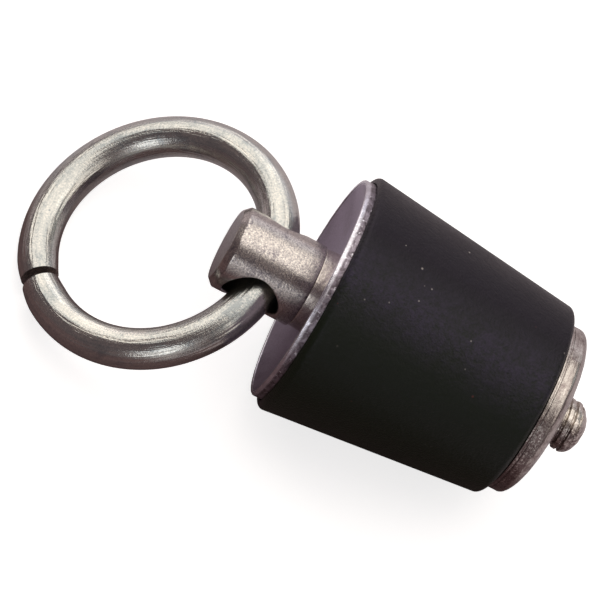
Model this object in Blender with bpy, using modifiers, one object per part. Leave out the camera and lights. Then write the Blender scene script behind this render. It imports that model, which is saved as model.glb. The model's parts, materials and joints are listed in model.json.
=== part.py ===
"""Expanding drain plug, lying on its side with its pull ring leaning on the same surface.

A tapered rubber bung is squeezed between a dished cup washer and a domed end plate. The eye bolt
turns on a loose thrust collar and draws the end plate along its thread. Its round head is drilled
across for a split pull ring.

Lengths are in metres and +Z is up. Every turned piece is drawn along a plug axis whose zero is the
rubber's large end, with positive stations towards the ring. The plug axis lies over world +X, and
the eye is drilled along world Y.
"""

import math

import bmesh
import bpy
from mathutils import Vector

MM = 0.001

# Rubber bung
BUNG_LARGE_DIAMETER = 50 * MM
BUNG_SMALL_DIAMETER = 40 * MM
BUNG_LENGTH = 45.7 * MM
BUNG_BORE_CLEARANCE = 0.5 * MM
BUNG_LARGE_EDGE_RADIUS = 0.9 * MM
BUNG_SMALL_EDGE_LENGTH = 1.4 * MM
BUNG_SMALL_EDGE_WIDTH = 1.9 * MM

# Cup washer, let into the rubber's large end
CUP_SET_IN = 1.75 * MM
CUP_THICKNESS = 2.3 * MM
CUP_DISH_DEPTH = 3.9 * MM
CUP_RIM_PROUD = 1.9 * MM
CUP_RIM_FLAT = 0.7 * MM
CUP_SEAT_MARGIN = 1.5 * MM
CUP_EDGE_BREAK = 0.25 * MM

# Eye bolt: a shank that ends in a domed stub, and a head drilled across, a shoulder wider
SHANK_DIAMETER = 10 * MM
SHOULDER_WIDTH = 3.5 * MM
SHOULDER_BREAK = 0.15 * MM
HEAD_CHAMFER = 1.3 * MM
EYE_END_WALL = 2.75 * MM
EYE_FOOT_WALL = 3.2 * MM
EYE_PLAY = 0.97 * MM
EYE_MOUTH_WIDTH = 0.7 * MM
EYE_MOUTH_LIFT = 0.05 * MM
STUB_PLAIN_LENGTH = 3.1 * MM
STUB_DOME_LENGTH = 3.4 * MM

# Thrust collar, between the cup's seat and the bolt's shoulder
COLLAR_LENGTH = 4 * MM
COLLAR_EDGE_BREAK = 0.15 * MM

# End plate, set in from the rubber's small end
PLATE_SET_IN = 2.55 * MM
PLATE_RIM_LENGTH = 2.4 * MM
PLATE_CROWN_HEIGHT = 3.75 * MM
PLATE_EDGE_BREAK = 0.25 * MM

# Pull ring, split, with one end sprung a little inwards
RING_WIRE_DIAMETER = 8 * MM
RING_BORE = 40 * MM
RING_END_GAP = 0.9 * MM
RING_END_SPRING = 0.5 * MM
RING_SPRING_LENGTH = 12 * MM
RING_GAP_FROM_EYE = math.radians(143.5)

# Clearances and working lengths
SEAT_GAP = 0.3 * MM
SHANK_CLEARANCE = 0.3 * MM
CUTTER_OVERRUN = 2 * MM
MERGE_DISTANCE = 0.01 * MM

# Facets
AROUND = 56
EYE_AROUND = 64
DISH_STEPS = 6
CROWN_STEPS = 12
DOME_STEPS = 7
EDGE_STEPS = 4
RING_POINTS = 88
RING_BEVEL_RESOLUTION = 6
SHARP_ANGLE = math.radians(30)

# The search for how far the ring droops below the plug axis
STEEPEST_DROOP = math.radians(80)
SEARCH_STEPS = 60

# Radii, worked out from the pieces above
BUNG_LARGE_RADIUS = BUNG_LARGE_DIAMETER / 2
BUNG_SMALL_RADIUS = BUNG_SMALL_DIAMETER / 2
CUP_RADIUS = BUNG_LARGE_RADIUS - CUP_SET_IN
PLATE_RADIUS = BUNG_SMALL_RADIUS - PLATE_SET_IN
SHANK_RADIUS = SHANK_DIAMETER / 2
HEAD_RADIUS = SHANK_RADIUS + SHOULDER_WIDTH
BORE_RADIUS = SHANK_RADIUS + SHANK_CLEARANCE
WIRE_RADIUS = RING_WIRE_DIAMETER / 2
RING_RADIUS = RING_BORE / 2 + WIRE_RADIUS

# The wire bows through the straight eye, evenly to both sides of the eye's axis
HALF_BOW = (RING_RADIUS - math.sqrt(RING_RADIUS ** 2 - HEAD_RADIUS ** 2)) / 2
EYE_RADIUS = WIRE_RADIUS + HALF_BOW + EYE_PLAY

# Stations along the plug axis
CUP_CREST = CUP_RIM_PROUD
CUP_SEAT = CUP_CREST - CUP_DISH_DEPTH
COLLAR_FOOT = CUP_SEAT + SEAT_GAP
COLLAR_TOP = COLLAR_FOOT + COLLAR_LENGTH
SHOULDER = COLLAR_TOP + SEAT_GAP
EYE_STATION = SHOULDER + EYE_FOOT_WALL + EYE_RADIUS
HEAD_END = EYE_STATION + EYE_RADIUS + EYE_END_WALL
PLATE_FACE = -BUNG_LENGTH - SEAT_GAP
PLATE_RIM_END = PLATE_FACE - PLATE_RIM_LENGTH
STUB_DOME_START = PLATE_RIM_END - PLATE_CROWN_HEIGHT - STUB_PLAIN_LENGTH
STUB_TIP = STUB_DOME_START - STUB_DOME_LENGTH

# The lean that lays the taper's lowest line flat on the surface
TAPER_LEAN = math.atan((BUNG_LARGE_RADIUS - BUNG_SMALL_RADIUS) / BUNG_LENGTH)

# Colour, roughness and metallic value of each piece
FINISHES = {
    "pull_ring": ((0.62, 0.58, 0.50, 1), 0.32, 1.0),
    "eye_bolt": ((0.60, 0.56, 0.49, 1), 0.38, 1.0),
    "thrust_collar": ((0.55, 0.51, 0.45, 1), 0.40, 1.0),
    "cup_washer": ((0.33, 0.31, 0.32, 1), 0.50, 1.0),
    "rubber_bung": ((0.018, 0.017, 0.020, 1), 0.45, 0.0),
    "end_plate": ((0.60, 0.57, 0.50, 1), 0.36, 1.0),
}


def clear_scene():
    for old in list(bpy.data.objects):
        bpy.data.objects.remove(old, do_unlink=True)


def new_collection(name):
    collection = bpy.data.collections.new(name)
    bpy.context.scene.collection.children.link(collection)
    return collection


def new_empty(name, collection, parent=None):
    empty = bpy.data.objects.new(name, None)
    empty.empty_display_size = HEAD_RADIUS
    collection.objects.link(empty)
    empty.parent = parent
    return empty


def add_finish(piece):
    """Gives a piece its own material, with the values in FINISHES."""
    colour, roughness, metallic = FINISHES[piece.name]
    material = bpy.data.materials.new(piece.name)
    material.use_nodes = True
    material.diffuse_color = colour
    shader = material.node_tree.nodes["Principled BSDF"]
    shader.inputs["Base Color"].default_value = colour
    shader.inputs["Roughness"].default_value = roughness
    shader.inputs["Metallic"].default_value = metallic
    piece.data.materials.append(material)


def arc(centre, radii, start, end, steps):
    """Points (r, s) of an elliptical arc from start to end, in degrees, both ends included."""
    angles = [math.radians(start + (end - start) * i / steps) for i in range(steps + 1)]
    return [
        (centre[0] + radii[0] * math.cos(angle), centre[1] + radii[1] * math.sin(angle))
        for angle in angles
    ]


def turned(name, profile, collection, axis, closed=True):
    """A turned piece: a profile of (radius, station) points swept round the plug axis."""
    mesh = bpy.data.meshes.new(name)
    edges = [(i, i + 1) for i in range(len(profile) - 1)]
    if closed:
        edges.append((len(profile) - 1, 0))
    mesh.from_pydata([(radius, 0, station) for radius, station in profile], edges, [])
    piece = bpy.data.objects.new(name, mesh)
    collection.objects.link(piece)
    piece.parent = axis
    turn = piece.modifiers.new("turn", "SCREW")
    turn.axis = "Z"
    turn.angle = math.tau
    turn.steps = AROUND
    turn.render_steps = AROUND
    turn.use_merge_vertices = True
    turn.merge_threshold = MERGE_DISTANCE
    add_finish(piece)
    return piece


def apply_and_shade(piece):
    """Turns the modifiers' result into the piece's own mesh, smooth but for its real edges."""
    graph = bpy.context.evaluated_depsgraph_get()
    mesh = bpy.data.meshes.new_from_object(piece.evaluated_get(graph))
    piece.modifiers.clear()
    piece.data = mesh
    mesh.shade_smooth()
    mesh.set_sharp_from_angle(angle=SHARP_ANGLE)


def dish_curve(drop):
    """The dish from its rim in to its flat seat, moved down the plug axis by drop."""
    seat_radius = HEAD_RADIUS + CUP_SEAT_MARGIN
    rim_radius = CUP_RADIUS - CUP_RIM_FLAT
    curve = []
    for i in range(DISH_STEPS + 1):
        share = 1 - i / DISH_STEPS
        radius = seat_radius + (rim_radius - seat_radius) * share
        curve.append((radius, CUP_SEAT + CUP_DISH_DEPTH * share ** 2 - drop))
    return curve


def bung_radius(station):
    """Radius of the rubber's taper at a station."""
    share = -station / BUNG_LENGTH
    return BUNG_LARGE_RADIUS + (BUNG_SMALL_RADIUS - BUNG_LARGE_RADIUS) * share


def build_rubber_bung(collection, axis):
    """The tapered body, bored for the shank and recessed for the cup washer."""
    edge = BUNG_LARGE_EDGE_RADIUS
    large_edge = arc((bung_radius(-edge) - edge, -edge), (edge, edge), 90, 0, EDGE_STEPS)
    round_start = BUNG_SMALL_EDGE_LENGTH - BUNG_LENGTH
    small_edge = arc(
        (bung_radius(round_start) - BUNG_SMALL_EDGE_WIDTH, round_start),
        (BUNG_SMALL_EDGE_WIDTH, BUNG_SMALL_EDGE_LENGTH),
        0, -90, EDGE_STEPS,
    )
    bore = SHANK_RADIUS + BUNG_BORE_CLEARANCE
    recess = dish_curve(CUP_THICKNESS + SEAT_GAP)[::-1]
    wall = CUP_RADIUS + SEAT_GAP
    profile = large_edge + small_edge + [(bore, -BUNG_LENGTH), (bore, recess[0][1])]
    profile += recess + [(wall, recess[-1][1]), (wall, 0)]
    return turned("rubber_bung", profile, collection, axis)


def build_cup_washer(collection, axis):
    """A dished washer of even thickness, with a narrow flat rim and a flat seat."""
    profile = [
        (CUP_RADIUS - CUP_EDGE_BREAK, CUP_CREST),
        (CUP_RADIUS, CUP_CREST - CUP_EDGE_BREAK),
        (CUP_RADIUS, CUP_CREST - CUP_THICKNESS),
    ]
    profile += dish_curve(CUP_THICKNESS)
    profile += [(BORE_RADIUS, CUP_SEAT - CUP_THICKNESS), (BORE_RADIUS, CUP_SEAT)]
    profile += dish_curve(0)[::-1]
    return turned("cup_washer", profile, collection, axis)


def build_thrust_collar(collection, axis):
    """A plain ring of the head's diameter, with both outer corners broken."""
    corner = COLLAR_EDGE_BREAK
    profile = [
        (BORE_RADIUS, COLLAR_TOP),
        (HEAD_RADIUS - corner, COLLAR_TOP),
        (HEAD_RADIUS, COLLAR_TOP - corner),
        (HEAD_RADIUS, COLLAR_FOOT + corner),
        (HEAD_RADIUS - corner, COLLAR_FOOT),
        (BORE_RADIUS, COLLAR_FOOT),
    ]
    return turned("thrust_collar", profile, collection, axis)


def build_end_plate(collection, axis):
    """A domed plate: a short straight rim, then an elliptical crown in to the bolt's bore."""
    crown_end = -math.degrees(math.acos(BORE_RADIUS / PLATE_RADIUS))
    profile = [
        (BORE_RADIUS, PLATE_FACE),
        (PLATE_RADIUS - PLATE_EDGE_BREAK, PLATE_FACE),
        (PLATE_RADIUS, PLATE_FACE - PLATE_EDGE_BREAK),
    ]
    profile += arc(
        (0, PLATE_RIM_END), (PLATE_RADIUS, PLATE_CROWN_HEIGHT), 0, crown_end, CROWN_STEPS
    )
    return turned("end_plate", profile, collection, axis)


def eye_mouth(angle, side):
    """Points of the eye's rounded mouth, from its wall out past the head's skin, at one angle.

    The mouth follows the saddle where the cross hole meets the round head, so that its rounding is
    as wide at the sharp corners above and below as it is towards the head's end and foot.
    """
    outward = Vector((math.cos(angle), 0, math.sin(angle)))
    hole = outward * EYE_RADIUS
    reach = math.sqrt(HEAD_RADIUS ** 2 - hole.x ** 2)
    corner = Vector((hole.x, reach, hole.z))
    skin_normal = Vector((hole.x, reach, 0)).normalized()
    along_edge = Vector((-hole.z, hole.x * hole.z / reach, hole.x)).normalized()
    down_wall = along_edge.cross(outward).normalized()
    if down_wall.y > 0:
        down_wall.negate()
    over_skin = along_edge.cross(skin_normal).normalized()
    if over_skin.dot(outward) < 0:
        over_skin.negate()
    wall_end = corner + down_wall * EYE_MOUTH_WIDTH
    skin_end = corner + over_skin * EYE_MOUTH_WIDTH + skin_normal * EYE_MOUTH_LIFT
    points = []
    for i in range(EDGE_STEPS + 1):
        share = i / EDGE_STEPS
        inner = wall_end.lerp(corner, share)
        outer = corner.lerp(skin_end, share)
        points.append(inner.lerp(outer, share))
    points.append(skin_end + skin_normal * CUTTER_OVERRUN)
    flare = outward * (EYE_RADIUS + EYE_MOUTH_WIDTH)
    far_reach = HEAD_RADIUS + EYE_MOUTH_LIFT + CUTTER_OVERRUN + CUTTER_OVERRUN
    points.append(Vector((flare.x, far_reach, flare.z)))
    return [Vector((point.x, point.y * side, point.z)) for point in points]


def build_eye_cutter(collection, eye_centre):
    """The cross hole with both its rounded mouths, lofted from one mouth to the other."""
    shape = bmesh.new()
    columns = []
    for i in range(EYE_AROUND):
        angle = math.tau * i / EYE_AROUND
        column = eye_mouth(angle, 1)[::-1] + eye_mouth(angle, -1)
        columns.append([shape.verts.new(point) for point in column])
    for here, there in zip(columns, columns[1:] + columns[:1]):
        for j in range(len(here) - 1):
            shape.faces.new((here[j], here[j + 1], there[j + 1], there[j]))
    shape.faces.new([column[0] for column in columns])
    shape.faces.new([column[-1] for column in columns][::-1])
    bmesh.ops.recalc_face_normals(shape, faces=shape.faces)
    mesh = bpy.data.meshes.new("eye_cutter")
    shape.to_mesh(mesh)
    shape.free()
    cutter = bpy.data.objects.new("eye_cutter", mesh)
    collection.objects.link(cutter)
    cutter.parent = eye_centre
    cutter.hide_render = True
    cutter.display_type = "WIRE"
    return cutter


def build_eye_bolt(collection, cutters, axis, eye_centre):
    """The head, shank and domed stub in one piece, with the head drilled across."""
    dome = arc(
        (0, STUB_DOME_START), (SHANK_RADIUS, STUB_DOME_LENGTH), 0, -90, DOME_STEPS
    )
    profile = [
        (0, HEAD_END),
        (HEAD_RADIUS - HEAD_CHAMFER, HEAD_END),
        (HEAD_RADIUS, HEAD_END - HEAD_CHAMFER),
        (HEAD_RADIUS, SHOULDER + SHOULDER_BREAK),
        (HEAD_RADIUS - SHOULDER_BREAK, SHOULDER),
        (SHANK_RADIUS, SHOULDER),
    ]
    profile += dome[:-1] + [(0, STUB_TIP)]
    bolt = turned("eye_bolt", profile, collection, axis, closed=False)
    drill = bolt.modifiers.new("drill eye", "BOOLEAN")
    drill.operation = "DIFFERENCE"
    drill.solver = "EXACT"
    drill.object = build_eye_cutter(cutters, eye_centre)
    return bolt


def ring_centre():
    """How far the ring's centre lies from the eye's: along the ring's plane, and square below it.

    The wire rests on the eye's lower wall, a seat gap away from it where it bows out most.
    """
    free = HALF_BOW + EYE_PLAY - SEAT_GAP
    return RING_RADIUS - HALF_BOW, math.sqrt(free ** 2 - HALF_BOW ** 2)


def ring_height(droop):
    """Height of the ring's lowest point over the surface, for a droop below the plug axis."""
    fall = droop - TAPER_LEAN
    along, below = ring_centre()
    eye_height = BUNG_LARGE_RADIUS * math.cos(TAPER_LEAN) + EYE_STATION * math.sin(TAPER_LEAN)
    centre_height = eye_height - along * math.sin(fall) - below * math.cos(fall)
    return centre_height - RING_RADIUS * math.sin(fall) - WIRE_RADIUS


def resting_droop():
    """The droop at which the ring just reaches the surface, found by halving."""
    clear, sunk = 0, STEEPEST_DROOP
    for _ in range(SEARCH_STEPS):
        middle = (clear + sunk) / 2
        if ring_height(middle) > 0:
            clear = middle
        else:
            sunk = middle
    return (clear + sunk) / 2


def wire_centreline():
    """The ring's centreline, from one side of its gap round to the end that is sprung inwards."""
    half_gap = RING_END_GAP / 2 / RING_RADIUS
    sweep = math.tau - 2 * half_gap
    along, below = ring_centre()
    points = []
    for i in range(RING_POINTS + 1):
        turn = sweep * i / RING_POINTS
        from_end = (sweep - turn) * RING_RADIUS
        near_end = max(0, 1 - from_end / RING_SPRING_LENGTH)
        radius = RING_RADIUS - RING_END_SPRING * near_end ** 2
        angle = RING_GAP_FROM_EYE + half_gap + turn
        points.append((along - radius * math.cos(angle), radius * math.sin(angle), -below))
    return points


def build_pull_ring(collection, pivot):
    """Round wire bent into a ring, its two square ends parted by a narrow gap."""
    curve = bpy.data.curves.new("pull_ring", "CURVE")
    curve.dimensions = "3D"
    curve.bevel_depth = WIRE_RADIUS
    curve.bevel_resolution = RING_BEVEL_RESOLUTION
    curve.use_fill_caps = True
    points = wire_centreline()
    spline = curve.splines.new("POLY")
    spline.points.add(len(points) - 1)
    spline.use_smooth = True
    for point, place in zip(spline.points, points):
        point.co = (*place, 1)
    ring = bpy.data.objects.new("pull_ring", curve)
    collection.objects.link(ring)
    ring.parent = pivot
    add_finish(ring)
    return ring


def set_on_surface(root, pieces):
    """Moves the plug so that its box is centred over the origin and stands on the surface."""
    bpy.context.view_layer.update()
    graph = bpy.context.evaluated_depsgraph_get()
    corners = []
    for piece in pieces:
        evaluated = piece.evaluated_get(graph)
        mesh = evaluated.to_mesh()
        corners += [evaluated.matrix_world @ vertex.co for vertex in mesh.vertices]
        evaluated.to_mesh_clear()
    low = [min(corner[i] for corner in corners) for i in range(3)]
    high = [max(corner[i] for corner in corners) for i in range(3)]
    root.location = (-(low[0] + high[0]) / 2, -(low[1] + high[1]) / 2, -low[2])


def main():
    clear_scene()
    bpy.context.scene.unit_settings.system = "METRIC"
    bpy.context.scene.unit_settings.scale_length = 1
    plug = new_collection("drain_plug")
    cutters = new_collection("cutters")

    root = new_empty("drain_plug_origin", plug)
    axis = new_empty("plug_axis", plug, root)
    axis.location = (0, 0, BUNG_LARGE_RADIUS * math.cos(TAPER_LEAN))
    axis.rotation_euler = (0, math.pi / 2 - TAPER_LEAN, 0)
    pivot = new_empty("ring_pivot", plug, axis)
    pivot.location = (0, 0, EYE_STATION)
    pivot.rotation_euler = (0, resting_droop() - math.pi / 2, 0)
    eye_centre = new_empty("eye_centre", plug, axis)
    eye_centre.location = (0, 0, EYE_STATION)

    turned_pieces = [
        build_rubber_bung(plug, axis),
        build_cup_washer(plug, axis),
        build_thrust_collar(plug, axis),
        build_eye_bolt(plug, cutters, axis, eye_centre),
        build_end_plate(plug, axis),
    ]
    ring = build_pull_ring(plug, pivot)
    bpy.context.view_layer.update()
    for piece in turned_pieces:
        apply_and_shade(piece)
    set_on_surface(root, turned_pieces + [ring])


main()
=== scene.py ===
"""Looks of an expanding drain plug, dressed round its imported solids.

A tapered rubber bung sits between a dished cup washer and a domed end plate. The eye bolt turns on
a loose thrust collar, and its drilled head carries a split pull ring. Every turned piece is drawn
along the plug axis, whose zero is the rubber's large end and whose stations grow towards the ring.
"""

import json
import logging
import math
from collections.abc import Callable
from dataclasses import astuple, dataclass, fields
from enum import Enum
from typing import Any, ClassVar

import bmesh
import bpy
from bpy.types import ID, Material, Mesh, Node, NodeSocket, NodeTree, Object
from mathutils import Matrix, Vector, noise

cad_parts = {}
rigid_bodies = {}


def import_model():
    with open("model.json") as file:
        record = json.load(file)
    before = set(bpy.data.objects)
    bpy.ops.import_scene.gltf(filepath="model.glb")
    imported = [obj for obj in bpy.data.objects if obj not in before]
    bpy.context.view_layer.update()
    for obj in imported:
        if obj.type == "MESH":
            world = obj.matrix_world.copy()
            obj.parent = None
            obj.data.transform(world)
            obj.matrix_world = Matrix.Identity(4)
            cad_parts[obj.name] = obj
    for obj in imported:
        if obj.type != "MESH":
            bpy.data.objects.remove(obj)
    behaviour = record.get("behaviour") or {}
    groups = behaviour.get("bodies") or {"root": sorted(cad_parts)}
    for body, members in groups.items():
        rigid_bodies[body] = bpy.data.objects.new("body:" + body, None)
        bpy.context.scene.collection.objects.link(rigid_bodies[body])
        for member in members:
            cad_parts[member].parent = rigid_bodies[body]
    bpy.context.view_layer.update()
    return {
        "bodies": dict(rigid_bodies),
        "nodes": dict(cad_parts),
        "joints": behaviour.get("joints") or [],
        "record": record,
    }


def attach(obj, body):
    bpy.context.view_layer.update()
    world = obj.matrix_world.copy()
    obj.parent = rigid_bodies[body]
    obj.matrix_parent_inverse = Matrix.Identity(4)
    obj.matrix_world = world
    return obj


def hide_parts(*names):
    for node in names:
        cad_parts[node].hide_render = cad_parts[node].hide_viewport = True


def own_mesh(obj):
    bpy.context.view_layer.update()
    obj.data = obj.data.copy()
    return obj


log = logging.getLogger("drain_plug")

MM = 0.001
EYE_STATION = 11.548 * MM
WELD = 0.0005 * MM
NOISE_SPAN = (0.3, 0.7)

Colour = tuple[float, float, float]
Span = tuple[float, float]
Profile = list[tuple[float, float]]

WHITE: Colour = (1.0, 1.0, 1.0)


class Body(Enum):
    """The bodies that move against each other."""

    SLEEVE = "sleeve"
    BOLT = "bolt"
    PLATE = "plate"
    RING = "ring"


# Node trees


@dataclass(frozen=True)
class Value:
    """A value in a node tree, on which arithmetic draws Math nodes."""

    sheet: "NodeSheet"
    socket: NodeSocket

    def __add__(self, other: Any) -> "Value":
        """Returns the sum."""
        return self.sheet.math("ADD", self, other)

    def __sub__(self, other: Any) -> "Value":
        """Returns the difference."""
        return self.sheet.math("SUBTRACT", self, other)

    def __rsub__(self, other: float) -> "Value":
        """Returns what is left of a number without the value."""
        return self.sheet.math("SUBTRACT", other, self)

    def __mul__(self, other: Any) -> "Value":
        """Returns the product."""
        return self.sheet.math("MULTIPLY", self, other)

    def __truediv__(self, other: Any) -> "Value":
        """Returns the quotient."""
        return self.sheet.math("DIVIDE", self, other)

    def held(self) -> "Value":
        """Holds a Math node's own result between 0 and 1."""
        self.socket.node.use_clamp = True
        return self


class NodeSheet:
    """A node tree while it is drawn up."""

    def __init__(self, tree: NodeTree) -> None:
        """Keeps the tree that the nodes go in."""
        self.tree = tree

    def feed(self, socket: NodeSocket, value: Any) -> None:
        """Links a socket to a value of the tree, or sets its own value.

        Args:
            socket: the input that takes the value.
            value: a value or socket of the tree, a number, a vector or a colour.
        """
        if isinstance(value, Value):
            value = value.socket
        if isinstance(value, NodeSocket):
            self.tree.links.new(value, socket)
        elif socket.type == "RGBA":
            socket.default_value = (*value, 1.0)
        else:
            socket.default_value = value

    def add(self, kind: str, feeds: dict[Any, Any] | None = None, **settings: Any) -> Node:
        """Adds a node.

        Args:
            kind: the node's type name.
            feeds: what each input takes, by its name or place.
            settings: the node's own options.

        Returns:
            The new node.
        """
        node = self.tree.nodes.new(kind)
        for name, value in settings.items():
            setattr(node, name, value)
        for key, value in (feeds or {}).items():
            self.feed(node.inputs[key], value)
        return node

    def value(
        self, kind: str, feeds: dict[Any, Any] | None = None, output: int | str = 0, **settings: Any
    ) -> Value:
        """Adds a node and returns one of its outputs."""
        return Value(self, self.add(kind, feeds, **settings).outputs[output])

    def math(self, operation: str, *values: Any) -> Value:
        """Adds a Math node and returns its result."""
        return self.value("ShaderNodeMath", dict(enumerate(values)), operation=operation)

    def ramp(self, value: Any, ends: Span, to: Span = (0, 1), **settings: Any) -> Value:
        """Maps a value from one range to another, held at both ends."""
        feeds = dict(enumerate((value, *ends, *to)))
        return self.value("ShaderNodeMapRange", feeds, clamp=True, **settings)

    def mix(self, share: Any, first: Any, second: Any) -> Value:
        """Mixes two colours by the second one's share."""
        feeds = {0: share, 6: first, 7: second}
        return self.value("ShaderNodeMix", feeds, 2, data_type="RGBA", clamp_factor=True)

    def split(self, vector: Any) -> tuple[Value, ...]:
        """Returns a vector's three parts."""
        parts = self.add("ShaderNodeSeparateXYZ", {0: vector}).outputs
        return tuple(Value(self, part) for part in parts)

    def join(self, x: Any, y: Any, z: Any = 0.0) -> Value:
        """Returns the vector of three parts."""
        return self.value("ShaderNodeCombineXYZ", {0: x, 1: y, 2: z})

    def reach(self, x: Value, y: Value) -> Value:
        """Returns how far a point lies from the Z axis."""
        return self.math("SQRT", x * x + y * y)


class GroupSheet(NodeSheet):
    """A node group while it is drawn up, with named inputs and one named output."""

    kinds: ClassVar[dict[type, str]] = {
        float: "NodeSocketFloat", int: "NodeSocketInt", Vector: "NodeSocketVector"
    }

    def __init__(
        self, name: str, inputs: dict[str, Any], output: str,
        tree_kind: str = "ShaderNodeTree", output_kind: str = "NodeSocketFloat",
    ) -> None:
        """Starts a group.

        Args:
            name: the group's name.
            inputs: its inputs' names with their defaults.
            output: the name of what it puts out.
            tree_kind: the tree's type name.
            output_kind: the output's type name.
        """
        super().__init__(bpy.data.node_groups.new(name, tree_kind))
        face = self.tree.interface
        for label, default in inputs.items():
            socket = face.new_socket(label, in_out="INPUT", socket_type=self.kinds[type(default)])
            socket.default_value = default
        face.new_socket(output, in_out="OUTPUT", socket_type=output_kind)
        self.given = self.add("NodeGroupInput")
        self.result = self.add("NodeGroupOutput")

    def take(self, name: str) -> Value:
        """Returns a named input."""
        return Value(self, self.given.outputs[name])

    def end(self, made: Any) -> NodeTree:
        """Puts out what the group has made and returns its tree."""
        self.feed(self.result.inputs[0], made)
        return self.tree


class GeometrySheet(GroupSheet):
    """A geometry tree that makes one closed mesh."""

    def __init__(self, name: str, inputs: dict[str, Any]) -> None:
        """Starts a tree.

        Args:
            name: the tree's name.
            inputs: its inputs' names with their values.
        """
        super().__init__(name, inputs, "Geometry", "GeometryNodeTree", "NodeSocketGeometry")
        self.inputs = inputs
        self.tree.is_modifier = True
        self.tree.interface.new_socket("Finish", in_out="INPUT", socket_type="NodeSocketMaterial")

    def end(self, made: Any) -> NodeTree:
        """Welds and smooths the geometry, and ends in plain meshes with the finish.

        Args:
            made: what the tree has made.

        Returns:
            The finished tree.
        """
        for kind, more in (
            ("GeometryNodeMergeByDistance", {"Distance": WELD}),
            ("GeometryNodeSetShadeSmooth", {}),
            ("GeometryNodeRealizeInstances", {}),
            ("GeometryNodeSetMaterial", {"Material": self.take("Finish")}),
        ):
            made = self.value(kind, {"Geometry": made, **more})
        return super().end(made)

    def run(self, name: str) -> Mesh:
        """Runs the tree and keeps its result as a plain mesh.

        Args:
            name: the mesh's name.

        Returns:
            The plain mesh.
        """
        seed = linked(name, bpy.data.meshes.new(name))
        modifier = seed.modifiers.new("form", "NODES")
        modifier.node_group = self.tree
        for item in self.tree.interface.items_tree:
            if item.name in self.inputs:
                modifier[item.identifier] = self.inputs[item.name]
        mesh = evaluated(seed)
        seed.modifiers.remove(modifier)
        bpy.data.objects.remove(seed)
        return mesh


# Surface effects that the finishes share


@dataclass(frozen=True)
class Effect:
    """An effect's values in one finish. Its shader group is built once for all of them."""

    group: ClassVar[str] = "effect"

    @classmethod
    def start(cls) -> GroupSheet:
        """Starts the group, whose inputs are the vector and the effect's own fields."""
        inputs = {"Vector": Vector()} | {item.name.title(): item.default for item in fields(cls)}
        return GroupSheet(cls.group, inputs, cls.__name__)


@dataclass(frozen=True)
class Streaks(Effect):
    """Fine streaks that run round the local Z axis, as turning or wire drawing leaves them."""

    group: ClassVar[str] = "streaks_round_axis"
    round: float = 6.0
    across: float = 3500.0

    @classmethod
    def tree(cls) -> NodeTree:
        """Draws up the group.

        Returns:
            The group's tree.
        """
        sheet = cls.start()
        lumps, across = sheet.take("Round"), sheet.take("Across")
        x, y, z = sheet.split(sheet.take("Vector"))
        angle = sheet.math("ARCTAN2", y, x)
        turned = sheet.join(
            sheet.math("COSINE", angle) * lumps, sheet.math("SINE", angle) * lumps, z * across
        )
        lines = sheet.value("ShaderNodeTexNoise", {
            "Vector": turned, "W": sheet.reach(x, y) * across,
            "Scale": 1.0, "Detail": 3.0, "Roughness": 0.6,
        }, "Fac", noise_dimensions="4D")
        return sheet.end(sheet.ramp(lines, NOISE_SPAN))


@dataclass(frozen=True)
class Grain(Effect):
    """A sandy grain, even in every direction."""

    group: ClassVar[str] = "sandy_grain"
    scale: float = 2600.0

    @classmethod
    def tree(cls) -> NodeTree:
        """Draws up the group.

        Returns:
            The group's tree.
        """
        sheet = cls.start()
        sand = sheet.value("ShaderNodeTexNoise", {
            "Vector": sheet.take("Vector"), "Scale": sheet.take("Scale"),
            "Detail": 2.0, "Roughness": 0.7,
        }, "Fac")
        return sheet.end(sheet.ramp(sand, NOISE_SPAN))


@dataclass(frozen=True)
class Patches(Effect):
    """Cloudy patches, such as tarnish or a scuffed area."""

    group: ClassVar[str] = "cloudy_patches"
    scale: float = 260.0
    threshold: float = 0.52
    softness: float = 0.2

    @classmethod
    def tree(cls) -> NodeTree:
        """Draws up the group.

        Returns:
            The group's tree.
        """
        sheet = cls.start()
        clouds = sheet.value("ShaderNodeTexNoise", {
            "Vector": sheet.take("Vector"), "Scale": sheet.take("Scale"),
            "Detail": 4.0, "Roughness": 0.6, "Distortion": 0.3,
        }, "Fac")
        return sheet.end(((clouds - sheet.take("Threshold")) / sheet.take("Softness")).held())


@dataclass(frozen=True)
class Specks(Effect):
    """Scattered small specks, such as dust or pits."""

    group: ClassVar[str] = "scattered_specks"
    least_size: ClassVar[float] = 0.4
    scale: float = 900.0
    share: float = 0.03
    size: float = 0.3

    @classmethod
    def tree(cls) -> NodeTree:
        """Draws up the group.

        Returns:
            The group's tree.
        """
        sheet = cls.start()
        cells = sheet.add("ShaderNodeTexVoronoi", {
            "Vector": sheet.take("Vector"), "Scale": sheet.take("Scale"), "Randomness": 1.0,
        }).outputs
        chance = sheet.add("ShaderNodeSeparateColor", {0: cells["Color"]}).outputs
        chosen = sheet.math("LESS_THAN", chance[0], sheet.take("Share"))
        size = sheet.take("Size") * sheet.math("ADD", chance[1], cls.least_size)
        near = (1.0 - sheet.math("DIVIDE", cells["Distance"], size)).held()
        return sheet.end(chosen * near)


EFFECTS = (Streaks, Grain, Patches, Specks)
EffectTrees = dict[type, NodeTree]


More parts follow.
